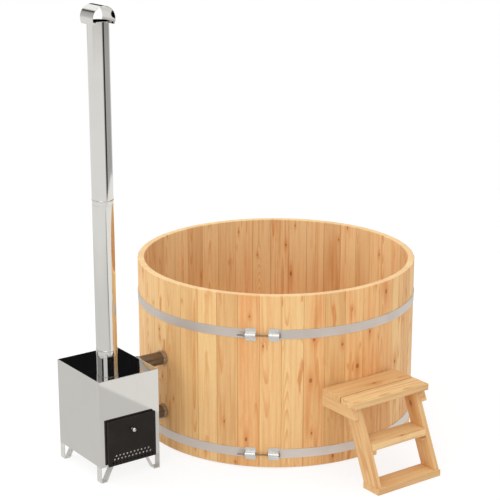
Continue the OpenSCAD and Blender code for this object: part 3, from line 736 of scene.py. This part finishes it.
@dataclass(frozen=True)
class Moulded:
    """Moulded plastic or rubber with a fine skin."""

    name: str
    tone: Tone
    shade: Tone
    roughness: float

    def material(self) -> Material:
        """Returns the material."""
        coat = Coat(self.name)
        where = coat.spot()
        skin = coat.noise(where, 1100.0, 2.0)
        worn = coat.noise(where, 30.0, 3.0)
        shaded = coat.spread(worn, 0.3, 0.75, 0.0, 0.6)
        return coat.surface(
            Base_Color=coat.mix(shaded, self.tone, self.shade),
            Roughness=coat.spread(worn, 0.3, 0.7, -0.05, 0.08) + self.roughness,
            Normal=coat.bump(skin, 0.10, 0.0002),
        )


# ---- workshop ----


class Workshop:
    """Makes pieces and puts them on their bodies."""

    def __init__(self, frame: dict[str, object]) -> None:
        """Keeps the frame.
        """
        self.nodes: dict[str, bpy.types.Object] = frame["nodes"]

    def dress(self, name: str, material: Material) -> None:
        """Gives a CAD node its material."""
        node = self.nodes[name]
        node.data.materials.clear()
        node.data.materials.append(material)
        log.info("%s: kept, %s", name, material.name)

    def place(
        self, name: str, shape: Shape, material: Material, slot: str, node: str,
        body: Body = Body.SET,
    ) -> bpy.types.Object:
        """Makes an object of a shape.

        Args:
            name: Name of the piece.
            shape: Its mesh, which is freed.
            material: Its finish.
            slot: Name of the record's material slot; not used.
            node: CAD node that the piece stands for.
            body: Body that it rides on.

        Returns:
            The object.
        """
        shape.edges.index_update()
        smooth = [face.smooth for face in shape.faces]
        borders = [edge.index for edge in shape.edges if not edge.smooth]
        mesh = bpy.data.meshes.new(name)
        shape.to_mesh(mesh)
        shape.free()
        stale = mesh.attributes.get("custom_normal")
        if stale is not None:
            mesh.attributes.remove(stale)
        mesh.set_sharp_from_angle(angle=SOFT_CREASE)  # this makes every face smooth
        mesh.polygons.foreach_set("use_smooth", smooth)
        for index in borders:
            mesh.edges[index].use_edge_sharp = True
        mesh.materials.append(material)
        piece = bpy.data.objects.new(name, mesh)
        bpy.context.scene.collection.objects.link(piece)
        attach(piece, body.value)
        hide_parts(node)
        log.info("%s: %d faces, %s", name, len(mesh.polygons), material.name)
        return piece

    def copy(self, name: str, join: bool) -> Shape:
        """Returns a node's mesh with its corners merged and, on request, its flat faces joined."""
        shape = bmesh.new()
        shape.from_mesh(self.nodes[name].data)
        bmesh.ops.remove_doubles(shape, verts=shape.verts, dist=MERGE)
        if join:
            bmesh.ops.dissolve_limit(shape, angle_limit=FLAT, verts=shape.verts, edges=shape.edges)
        return shape

    def soften(
        self, name: str, edge: float, material: Material, slot: str,
        shortest: float = 0.0, segments: int = 2, body: Body = Body.SET, turn: float = 40.0,
        join: bool = True,
    ) -> bpy.types.Object:
        """Stands for a node with a copy that has rounded edges.

        Args:
            name: Name of the node.
            edge: Width of the rounding.
            material: Finish.
            slot: Name of the record's material slot; not used.
            shortest: Shorter edges stay sharp.
            segments: Steps of the rounding.
            body: Body that the piece rides on.
            turn: Edges that turn less than this many degrees stay as they are.
            join: Whether flat faces are joined first, which suits shapes without holes.

        Returns:
            The object.
        """
        shape = self.copy(name, join)
        edges = [
            e for e in shape.edges
            if e.is_manifold and e.calc_length() >= shortest
            and e.calc_face_angle() > math.radians(turn)
        ]
        round_edges(shape, edges, edge, segments)
        return self.place(name + "_dressed", shape, material, slot, name, body)


def facing(face: bmesh.types.BMFace) -> tuple[float, ...]:
    """Returns a face's direction as numbers that can be compared."""
    return tuple(round(part, 3) + 0.0 for part in face.normal)


def round_edges(
    shape: Shape, edges: list[bmesh.types.BMEdge], width: float, segments: int
) -> None:
    """Rounds some edges and shades only roundings and curves smooth, so flat faces mirror true.

    Args:
        shape: Mesh.
        edges: Edges to round.
        width: Width of the rounding.
        segments: Steps of the rounding.
    """
    shape.normal_update()
    before = {facing(face) for face in shape.faces}
    bmesh.ops.bevel(
        shape, geom=edges, offset=width, offset_type="OFFSET", affect="EDGES", segments=segments,
        profile=0.5, material=-1, clamp_overlap=True,
    )
    bmesh.ops.recalc_face_normals(shape, faces=shape.faces)
    rounding = {face for face in shape.faces if facing(face) not in before}
    curved = {
        face for edge in shape.edges
        if edge.is_manifold and FLAT < edge.calc_face_angle() < CREASE
        and rounding.isdisjoint(edge.link_faces)
        for face in edge.link_faces
    }
    for face in shape.faces:
        face.smooth = face in rounding or face in curved
    for edge in shape.edges:  # a rounding that ends here must not bend a sheet's shading
        edge.smooth = len(rounding.intersection(edge.link_faces)) != 1


def turned(
    profile: Sequence[tuple[float, float]], centre: Point, along: Axis = Axis.Z,
    steps: int = FINE_TURN,
) -> Shape:
    """Turns a closed outline round an axis.

    Args:
        profile: Radius and height of each corner, in order.
        centre: Point on the axis where the height is 0.
        along: Direction of the axis.
        steps: Steps of the full turn.

    Returns:
        The mesh.
    """
    shape = bmesh.new()
    corners = [shape.verts.new((radius, 0.0, height)) for radius, height in profile]
    edges = [shape.edges.new((a, b)) for a, b in zip(corners, corners[1:] + corners[:1])]
    bmesh.ops.spin(
        shape, geom=corners + edges, cent=(0, 0, 0), axis=(0, 0, 1), angle=FULL_TURN, steps=steps,
        use_merge=True,
    )
    bmesh.ops.remove_doubles(shape, verts=shape.verts, dist=SPECK)
    bmesh.ops.dissolve_degenerate(shape, edges=shape.edges, dist=SPECK)
    bmesh.ops.recalc_face_normals(shape, faces=shape.faces)
    for face in shape.faces:
        face.smooth = True
    turn = {
        Axis.X: Matrix.Rotation(QUARTER, 4, "Y"),
        Axis.Y: Matrix.Rotation(-QUARTER, 4, "X"),
        Axis.Z: Matrix(),
    }
    bmesh.ops.transform(shape, matrix=Matrix.Translation(centre) @ turn[along], verts=shape.verts)
    return shape


def joined(*shapes: bmesh.types.BMesh) -> Shape:
    """Returns the shapes as one mesh and frees them."""
    whole = bmesh.new()
    for shape in shapes:
        scrap = bpy.data.meshes.new("scrap")
        shape.to_mesh(scrap)
        shape.free()
        whole.from_mesh(scrap)
        bpy.data.meshes.remove(scrap)
    return whole


def tube_profile(
    outer: float, wall: float, low: float, high: float, edge: float,
    rings: Sequence[float] = (), ring: float = 0.0015,
) -> list[tuple[float, float]]:
    """Draws the outline of a tube with rounded ends and rolled rings.

    Args:
        outer: Outer radius.
        wall: Wall thickness.
        low: Height of the lower end.
        high: Height of the upper end.
        edge: Rounding of the ends.
        rings: Heights of the rolled rings.
        ring: How far a ring stands out.

    Returns:
        Radius and height of each corner.
    """
    inner = outer - wall
    outline = [(inner + edge, low), (outer - edge, low), (outer, low + edge)]
    for height in rings:
        for angle in range(-90, 91, 30):
            swing = math.radians(angle)
            outline.append((outer + ring * math.cos(swing), height + 2.6 * ring * math.sin(swing)))
    outline += [(outer, high - edge), (outer - edge, high), (inner + edge, high)]
    outline += [(inner, high - edge), (inner, low + edge)]
    return outline


# ---- sub-assemblies ----


@dataclass
class Tub:
    """Staves and floor."""

    shop: Workshop
    stave_width: float = 0.1314
    rim: float = 1.115
    floor_start: float = -0.864
    floor_pitch: float = 0.144
    bearer_pitch: float = 0.320
    bearer_width: float = 0.070
    bearers: int = 5

    def build(self) -> None:
        """Dresses the wall and softens the floor."""
        wall = Timber("stave_timber", StaveRing(self.stave_width), 11, end_at=self.rim).material()
        self.shop.dress("staves", wall)
        self.shop.dress("pipe_staves", wall)
        rows = BoardRows(self.floor_pitch, Axis.X, Axis.Y, self.floor_start, self.floor_pitch)
        boards = Timber("floor_timber", rows, 23).material()
        self.shop.soften("floor_boards", 0.002, boards, "wood_floor", shortest=0.05)
        start = -self.bearers / 2 * self.bearer_pitch
        rows = BoardRows(self.bearer_width, Axis.Y, Axis.X, start, self.bearer_pitch)
        beams = Timber("bearer_timber", rows, 31, seam=1.0).material()
        self.shop.soften("floor_bearers", 0.003, beams, "wood_floor")


@dataclass
class Hoops:
    """Steel bands and the tension rods that close them."""

    shop: Workshop

    def build(self) -> None:
        """Softens the bands and their fastenings."""
        band = Steel(
            "hoop_band_steel", Tone(226, 216, 208), 0.44, Brush.ROUND_Z, marks=0.035, metal=0.72
        ).material()
        lug = Steel("hoop_lug_steel", Tone(230, 230, 228), 0.24, marks=0.02, metal=0.78).material()
        bolt = Steel("bolt_steel", Tone(140, 130, 118), 0.30, marks=0.04).material()
        for name, edge, finish, slot, shortest, turn in (
            ("hoop_upper", 0.0006, band, "hoop_steel", 0.003, 40.0),
            ("hoop_lower", 0.0006, band, "hoop_steel", 0.003, 40.0),
            ("hoop_lugs", 0.0009, lug, "hoop_steel", 0.004, 55.0),
            ("tension_rods", 0.0007, bolt, "bolt_steel", 0.004, 40.0),
            ("tension_washers", 0.0004, bolt, "bolt_steel", 0.0005, ROUND_TURN),
            ("tension_nuts", 0.0007, bolt, "bolt_steel", 0.004, 40.0),
        ):
            self.shop.soften(name, edge, finish, slot, shortest=shortest, turn=turn)


@dataclass
class Bench:
    """Seat boards on bearers, legs and wall cleats."""

    shop: Workshop
    board_width: float = 0.095
    timber_width: float = 0.045

    def build(self) -> None:
        """Softens the wooden pieces."""
        fan = partial(BenchFan, self.timber_width)
        seats = BenchFan(self.board_width, FanPart.SEAT)
        seat = Timber("seat_timber", seats, 41, seam=0.85).material()
        bearer = Timber("seat_bearer_timber", fan(FanPart.BEARER), 53, seam=1.0).material()
        upright = Timber("seat_leg_timber", fan(FanPart.UPRIGHT), 61, seam=1.0).material()
        self.shop.soften("bench_boards", 0.003, seat, "wood_bench", segments=3)
        for name, timber in (
            ("bench_bearers", bearer), ("bench_legs", upright), ("bench_cleats", upright)
        ):
            self.shop.soften(name, 0.002, timber, "wood_bench")


@dataclass
class Drain:
    """Floor drain with its nut and plug."""

    shop: Workshop

    def build(self) -> None:
        """Softens the moulded pieces."""
        grey = Moulded("drain_plastic", Tone(218, 218, 214), Tone(196, 196, 190), 0.42).material()
        rubber = Moulded("plug_rubber", Tone(40, 40, 42), Tone(60, 60, 60), 0.6).material()
        for name, edge, finish, slot, body in (
            ("drain_fitting", 0.0008, grey, "drain_plastic", Body.SET),
            ("drain_nut", 0.001, grey, "drain_plastic", Body.SET),
            ("drain_plug", 0.0008, rubber, "plug_rubber", Body.PLUG),
        ):
            self.shop.soften(name, edge, finish, slot, body=body, turn=ROUND_TURN)


@dataclass
class Stove:
    """Water-jacket stove with its firebox, door and feet."""

    shop: Workshop
    door_mid: Point = (-1.310, -0.319, 0.316)
    knob_radius: float = 0.0135
    neck_radius: float = 0.005
    neck_length: float = 0.007

    def build(self) -> None:
        """Softens the sheet parts and turns the knob."""
        sheet = Steel("casing_steel", Tone(228, 225, 220), 0.05, marks=0.01, smear=0.03).material()
        strip = Steel("foot_steel", Tone(232, 230, 226), 0.46, metal=0.6).material()
        mirror = Steel(
            "top_steel", Tone(188, 188, 188), 0.045, Brush.ALONG_Y, marks=0.01, smear=0.03
        ).material()
        black = Enamel("door_enamel", Tone(33, 28, 24), Tone(56, 49, 43)).material()
        fire = FurnaceIron("firebox_iron").material()
        cast = FurnaceIron(
            "grate_iron", Tone(66, 64, 62), Tone(30, 29, 28), grain=260.0
        ).material()
        shield = Steel(
            "shield_steel", Tone(250, 248, 244), 0.60, Brush.ROUND_Z, metal=0.25
        ).material()
        pin = Steel("hinge_pin_steel", Tone(170, 168, 164), 0.30, Brush.ROUND_Z).material()
        for name, edge, finish, slot, shortest, body, join in (
            ("stove_casing", 0.0012, sheet, "casing_steel", 0.02, Body.SET, False),
            ("stove_top", 0.0008, mirror, "mirror_steel", 0.02, Body.SET, True),
            ("stove_feet", 0.0008, strip, "casing_steel", 0.01, Body.SET, True),
            ("firebox", 0.0015, fire, "firebox_steel", 0.01, Body.SET, False),
            ("grate", 0.0015, cast, "grate_iron", 0.0, Body.SET, False),
            ("door_frame", 0.0006, black, "door_black", 0.02, Body.SET, False),
            ("door", 0.0010, black, "door_black", 0.03, Body.DOOR, False),
            ("door_shield", 0.0004, shield, "shield_steel", 0.02, Body.DOOR, False),
        ):
            self.shop.soften(name, edge, finish, slot, shortest=shortest, body=body, join=join)
        self.shop.soften("door_hinge_pins", 0.0004, pin, "bolt_steel", turn=ROUND_TURN)
        self._knob()

    def _knob(self) -> None:
        """Turns the ball, its neck and the stud through the door face."""
        chrome = Steel("knob_chrome", Tone(226, 226, 224), 0.12, marks=0.02, smear=0.02).material()
        middle = self.neck_length + self.knob_radius
        start = math.asin(self.neck_radius / self.knob_radius)
        steps = 16
        angles = (start + (math.pi - start) * i / steps for i in range(steps + 1))
        ball = [
            (self.knob_radius * math.sin(angle), middle - self.knob_radius * math.cos(angle))
            for angle in angles
        ]
        stud = self.neck_radius / 2
        flare = self.neck_radius + 0.001
        foot = [(0.0, -0.0035), (stud - 0.0003, -0.0035), (stud, -0.0032), (stud, 0.0)]
        neck = [(flare, 0.0), (flare, 0.001), (self.neck_radius, 0.0022)]
        shape = turned(foot + neck + ball, (0.0, 0.0, 0.0), steps=48)
        aim = Matrix.Translation(self.door_mid) @ Matrix.Rotation(QUARTER, 4, "X")
        bmesh.ops.transform(shape, matrix=aim, verts=shape.verts)
        self.shop.place("door_knob_turned", shape, chrome, "knob_chrome", "door_knob", Body.DOOR)


@dataclass
class Chimney:
    """Flue stub, two tube sections and the drum cap."""

    shop: Workshop
    axis: tuple[float, float] = (-1.3105, -0.040)
    radius: float = 0.065
    wall: float = 0.0015
    foot: float = 0.718
    joint: float = 1.655
    top: float = 2.741
    spigot: float = 0.050
    bead: float = 0.030

    def build(self) -> None:
        """Turns the tubes and softens the cap."""
        sheet = Steel(
            "chimney_steel", Tone(236, 234, 229), 0.06, marks=0.015, smear=0.03
        ).material()
        outer, wall, foot, joint = self.radius, self.wall, self.foot, self.joint
        inner = outer - wall - 0.0003
        tubes = {  # each tube's outer radius, wall, lower and upper end, end rounding and beads
            "flue_stub": (
                (inner, wall, 0.555, foot + self.spigot, 0.0004),
                (outer, wall + 0.0005, foot - 0.005, foot, 0.0012),
            ),
            "chimney_lower": (
                (outer, wall, foot, joint, 0.0005, (foot + self.bead,)),
                (inner, wall, joint - 0.002, joint + self.spigot, 0.0004),
            ),
            "chimney_upper": ((outer, wall, joint, self.top, 0.0006, (joint + self.bead,)),),
        }
        for name, parts in tubes.items():
            shape = joined(*(turned(tube_profile(*part), (*self.axis, 0.0)) for part in parts))
            self.shop.place(name + "_turned", shape, sheet, "chimney_steel", name)
        self.shop.soften(
            "chimney_cap", 0.0005, sheet, "chimney_steel", shortest=0.002, turn=ROUND_TURN
        )


@dataclass
class Pipes:
    """The two water pipes with their collars and flanges."""

    shop: Workshop
    radius: float = 0.042
    wall: float = 0.002
    place_y: float = -0.032
    heights: tuple[float, float] = (0.599, 0.242)
    start: float = -1.110
    end: float = -0.839

    def build(self) -> None:
        """Turns the pipes and softens their rings."""
        # painted reflection: the pipes' dull brown tone stands in for the wooden wall that their
        # polished steel reflects
        dull = Steel(
            "pipe_steel", Tone(132, 118, 104), 0.32, Brush.ROUND_Z, marks=0.08
        ).material()
        bright = Steel("collar_steel", Tone(188, 184, 178), 0.25, Brush.ROUND_Z).material()
        profile = tube_profile(self.radius, self.wall, 0.0, self.end - self.start, 0.0005)
        for name, height in zip(("upper_pipe", "lower_pipe"), self.heights):
            shape = turned(profile, (self.start, self.place_y, height), Axis.X, 96)
            self.shop.place(name + "_turned", shape, dull, "pipe_steel", name)
        for name in ("tub_collars", "stove_collars", "inner_flanges"):
            self.shop.soften(
                name, 0.0008, bright, "pipe_steel", shortest=0.001, turn=ROUND_TURN
            )


@dataclass
class Step:
    """Wooden step: a seat on rails, two leaning legs, a middle tread and a base board."""

    shop: Workshop
    middle: float = -0.029
    lean: float = math.radians(24)

    def build(self) -> None:
        """Softens the boards."""
        x = self.middle
        boards: dict[str, StepBoard] = {
            "step_back_board": StepBoard(0.173, Axis.X, Axis.Y, (x, -0.9868, 0.514)),
            "step_front_board": StepBoard(0.137, Axis.X, Axis.Y, (x, -1.1508, 0.514)),
            "step_middle_board": StepBoard(0.147, Axis.X, Axis.Y, (x, -1.228, 0.260)),
            "step_base_board": StepBoard(0.141, Axis.X, Axis.Y, (x, -1.3265, 0.020)),
            "step_rails": StepBoard(0.071, Axis.Y, Axis.Z, (x, -1.05, 0.4585)),
            "step_cleats": StepBoard(0.028, Axis.Y, Axis.Z, (x, -1.25, 0.226)),
            "step_legs": StepBoard(0.112, Axis.Z, Axis.Y, (x, -1.2245, 0.267), self.lean),
        }
        for seed, (name, layout) in enumerate(boards.items(), 71):
            timber = Timber(
                name + "_timber", layout, seed, Tone(246, 208, 150), Tone(230, 180, 122),
                late=Tone(206, 138, 76), seam=0.9,
            ).material()
            self.shop.soften(name, 0.0028, timber, "wood_step", segments=3)


# ---- studio ----


@dataclass
class Studio:
    """Pale floor, soft light and the camera at the picture's angle."""

    floor_radius: float = 6.5
    plain_radius: float = 4.2
    camera_at: Point = (-5.762, -7.731, 3.943)
    camera_towards: Point = (0.5603, 0.7798, -0.2792)
    lens: float = 110.9
    sensor: float = 36.0
    floor_shadow: float = 0.3
    floor_white: float = 1.13
    floor_shine: float = 0.69
    card_shine: float = 0.88
    card_edge: float = -0.516
    card_slope: float = 0.1083
    card_dusk: float = 0.62
    room_light: float = 0.86
    stripe_at: float = -64.5
    stripe_half: float = 8.5
    window_at: float = 65.5
    notch_at: float = 107.0
    room_bands: tuple[tuple[float, float], ...] = (
        (-30.0, 0.80), (-9.0, 0.80), (-6.0, 0.42), (5.0, 0.30), (9.0, 0.01), (27.0, 0.01),
        (30.0, 1.0), (60.0, 1.0),
    )
    far_bands: tuple[tuple[float, float], ...] = (
        (-30.0, 0.80), (-6.0, 0.80), (4.0, 0.52), (24.0, 0.40), (60.0, 0.40)
    )

    def build(self) -> None:
        """Makes the floor, the lights, the world and the camera."""
        self._floor()
        self._world()
        self._lamp("key_softbox", (-6.9, -5.0, 4.5), (-0.4, -0.2, 0.6), 6.0, 124.0)
        self._lamp("side_softbox", (-5.0, 5.5, 4.0), (-0.6, 0.2, 0.6), 4.0, 125.0, mirrored=False)
        self._lamp("top_softbox", (0.0, 0.0, 7.0), (0.0, 0.0, 0.0), 5.0, 55.0)
        self._camera()

    def _floor(self) -> None:
        """Lays a round white floor."""
        shape = bmesh.new()
        bmesh.ops.create_circle(shape, cap_ends=True, segments=96, radius=self.floor_radius)
        mesh = bpy.data.meshes.new("studio_floor")
        shape.to_mesh(mesh)
        shape.free()
        coat = Coat("studio_floor")
        grain = coat.noise(coat.spot(), 3.0)
        pale = coat.mix(grain, (0.84, 0.84, 0.84, 1.0), (0.86, 0.86, 0.86, 1.0))
        coat.surface(Base_Color=pale, Roughness=0.9)
        self._floor_as_seen(coat)
        mesh.materials.append(coat.material)
        floor = bpy.data.objects.new("studio_floor", mesh)
        bpy.context.scene.collection.objects.link(floor)

    def _floor_as_seen(self, coat: Coat) -> None:
        """Lets the camera see the floor nearly white, with its shadows, and metal see a painted
        glow: a dim floor, a brighter card past a straight edge and a darker strip beside that
        edge.

        Args:
            coat: The floor's material.
        """
        x, y, _ = coat.place()
        rays = coat.node("LightPath")
        bright = coat.glow("Emission", WHITE, self.floor_white)
        seen = coat.either(self.floor_shadow, bright, coat.out(coat.shader))
        place = x - y * self.card_slope
        beside = (place - (self.card_edge - 0.15)) / 0.5
        dusk = coat.bell(beside) * coat.spread(y, -3.6, -1.4, self.card_dusk, 0.04)
        away = coat.spread(coat.length(x, y), self.plain_radius, self.floor_radius)
        rim_shine = self.room_bands[0][1] - self.floor_shine
        shine = away * rim_shine + self.floor_shine
        dull = (1.0 - dusk) * shine
        lit = coat.spread(place, self.card_edge - 0.01, self.card_edge + 0.01)
        level = dull + lit * (self.card_shine - dull)
        sheen = coat.glow("Emission", coat.vector(level, level, level * 0.985))
        plain = coat.either(coat.out(rays, "Is Camera Ray"), coat.out(coat.shader), seen)
        whole = coat.either(coat.out(rays, "Is Glossy Ray"), plain, sheen)
        coat.feed(coat.output.inputs[0], whole)

    def _world(self) -> None:
        """Lights the scene evenly from a white room that only metal sees in full."""
        world = bpy.data.worlds.new("studio_room")
        bpy.context.scene.world = world
        world.use_nodes = True
        graph = Graph(world.node_tree)
        rays = graph.node("LightPath")
        lit = graph.glow("Background", WHITE, self.room_light)
        white = graph.glow("Background", WHITE)
        shown = graph.glow("Background", self._room(graph))
        room = graph.either(graph.out(rays, "Is Glossy Ray"), lit, shown)
        seen = graph.either(graph.out(rays, "Is Camera Ray"), room, white)
        graph.feed(graph.node("OutputWorld").inputs[0], seen)

    def _room(self, graph: Graph) -> Signal:
        """Returns the room that metal shows: white walls, dark openings and a window."""
        x, y, z = graph.apart(graph.out(graph.node("TexCoord"), "Generated"))
        azimuth = graph.math("ARCTAN2", y, x) * DEGREE
        rise = graph.math("ARCSINE", z) * DEGREE
        beyond = graph.spread(azimuth, self.window_at - 1.5, self.window_at + 1.5)
        window = beyond * graph.spread(rise, 10.0, 15.0)
        near = graph.mix(window, graph.ramp(rise, self.room_bands), WHITE)
        past = azimuth - self.notch_at
        far = graph.spread(past, -3.0, 3.0)
        bands = graph.mix(far, near, graph.ramp(rise, self.far_bands))
        notch = graph.bell(past / 5.0) * graph.spread(rise, 14.0, 22.0, 0.0, 0.95)
        bands = graph.mix(notch, bands, BLACK)
        aside = azimuth - self.stripe_at
        half = self.stripe_half
        left = graph.spread(aside, -2.6 * half, -0.4 * half)
        right = graph.spread(aside, 0.5 * half, 1.5 * half, 1.0, 0.0)
        wing = graph.spread(aside, 0.0, half, 0.0, 0.5)
        wing = wing * graph.spread(aside, 70.0, 100.0, 1.0, 0.0)
        stripe = graph.math("MAXIMUM", left * right * 0.98, wing)
        below = graph.spread(rise, -5.0, -2.0, 1.0, 0.0)
        return graph.mix(stripe * below, bands, BLACK)

    def _lamp(
        self, name: str, at: Point, towards: Point, size: float, power: float,
        mirrored: bool = True,
    ) -> None:
        """Hangs a soft square lamp.

        Args:
            name: Name of the lamp.
            at: Its place.
            towards: Point that it faces.
            size: Its side.
            power: Its power in watts.
            mirrored: Whether metal shows the lamp itself.
        """
        lamp = bpy.data.lights.new(name, "AREA")
        lamp.shape = "SQUARE"
        lamp.size = size
        lamp.energy = power
        holder = bpy.data.objects.new(name, lamp)
        holder.visible_glossy = mirrored
        holder.location = at
        holder.rotation_euler = (Vector(towards) - Vector(at)).to_track_quat("-Z", "Y").to_euler()
        bpy.context.scene.collection.objects.link(holder)

    def _camera(self) -> None:
        """Sets the camera."""
        camera = bpy.data.cameras.new("camera")
        camera.lens = self.lens
        camera.sensor_width = self.sensor
        holder = bpy.data.objects.new("camera", camera)
        holder.location = self.camera_at
        holder.rotation_euler = Vector(self.camera_towards).to_track_quat("-Z", "Y").to_euler()
        bpy.context.scene.collection.objects.link(holder)
        bpy.context.scene.camera = holder


def plain(box: Iterable[Iterable[float]]) -> list[list[float]]:
    """Returns a box as plain lists of numbers."""
    return [[float(number) for number in corner] for corner in box]


def main() -> None:
    """Builds and dresses every sub-assembly."""
    logging.basicConfig(level=logging.INFO, format="%(name)s: %(message)s", stream=sys.stdout)
    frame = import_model()
    bpy.context.scene.view_settings.view_transform = "Standard"
    Studio().build()
    shop = Workshop(frame)
    for assembly in (Tub, Hoops, Bench, Drain, Stove, Chimney, Pipes, Step):
        assembly(shop).build()
        log.info("%s built", assembly.__name__)


if __name__ == "__main__":
    main()
